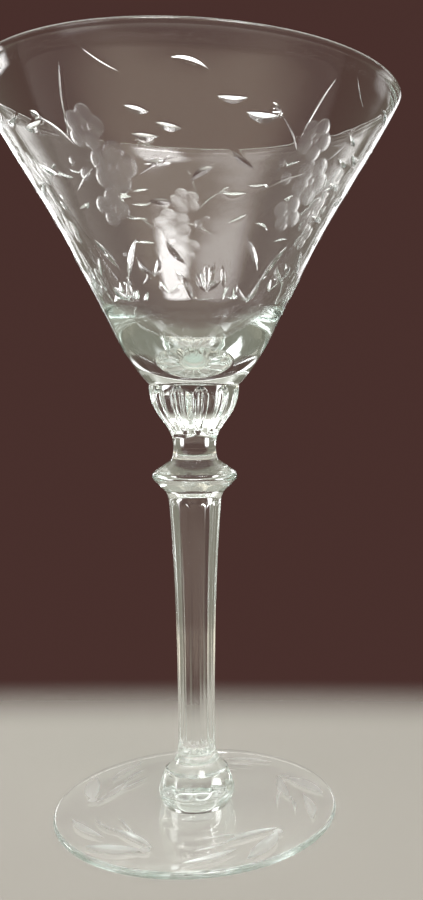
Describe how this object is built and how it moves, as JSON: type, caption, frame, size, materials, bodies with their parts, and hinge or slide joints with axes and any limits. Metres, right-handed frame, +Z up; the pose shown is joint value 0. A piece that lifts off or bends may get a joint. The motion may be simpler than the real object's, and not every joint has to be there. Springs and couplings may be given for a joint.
{
  "type": "sherbet glass",
  "caption": "Stemmed sherbet glass of clear cut glass: a flared conical bowl on a knopped, fluted stem with a flat round foot.",
  "frame": {"origin": "middle of the foot's underside, on the surface that the glass stands on", "axes": "+Z up along the glass's own axis; one panel of the stem faces -Y, and the panels then repeat round +Z"},
  "size_m": [0.0948, 0.0948, 0.1668],
  "materials": {
    "clear_glass": "fire-polished clear pressed glass, faintly green in the thick",
    "cut_glass": "polished clear blown glass with matt wheel-cut flowers and leaves"
  },
  "bodies": {
    "root": {"foot": "cut_glass", "stem": "clear_glass", "bowl": "cut_glass"}
  },
  "joints": []
}
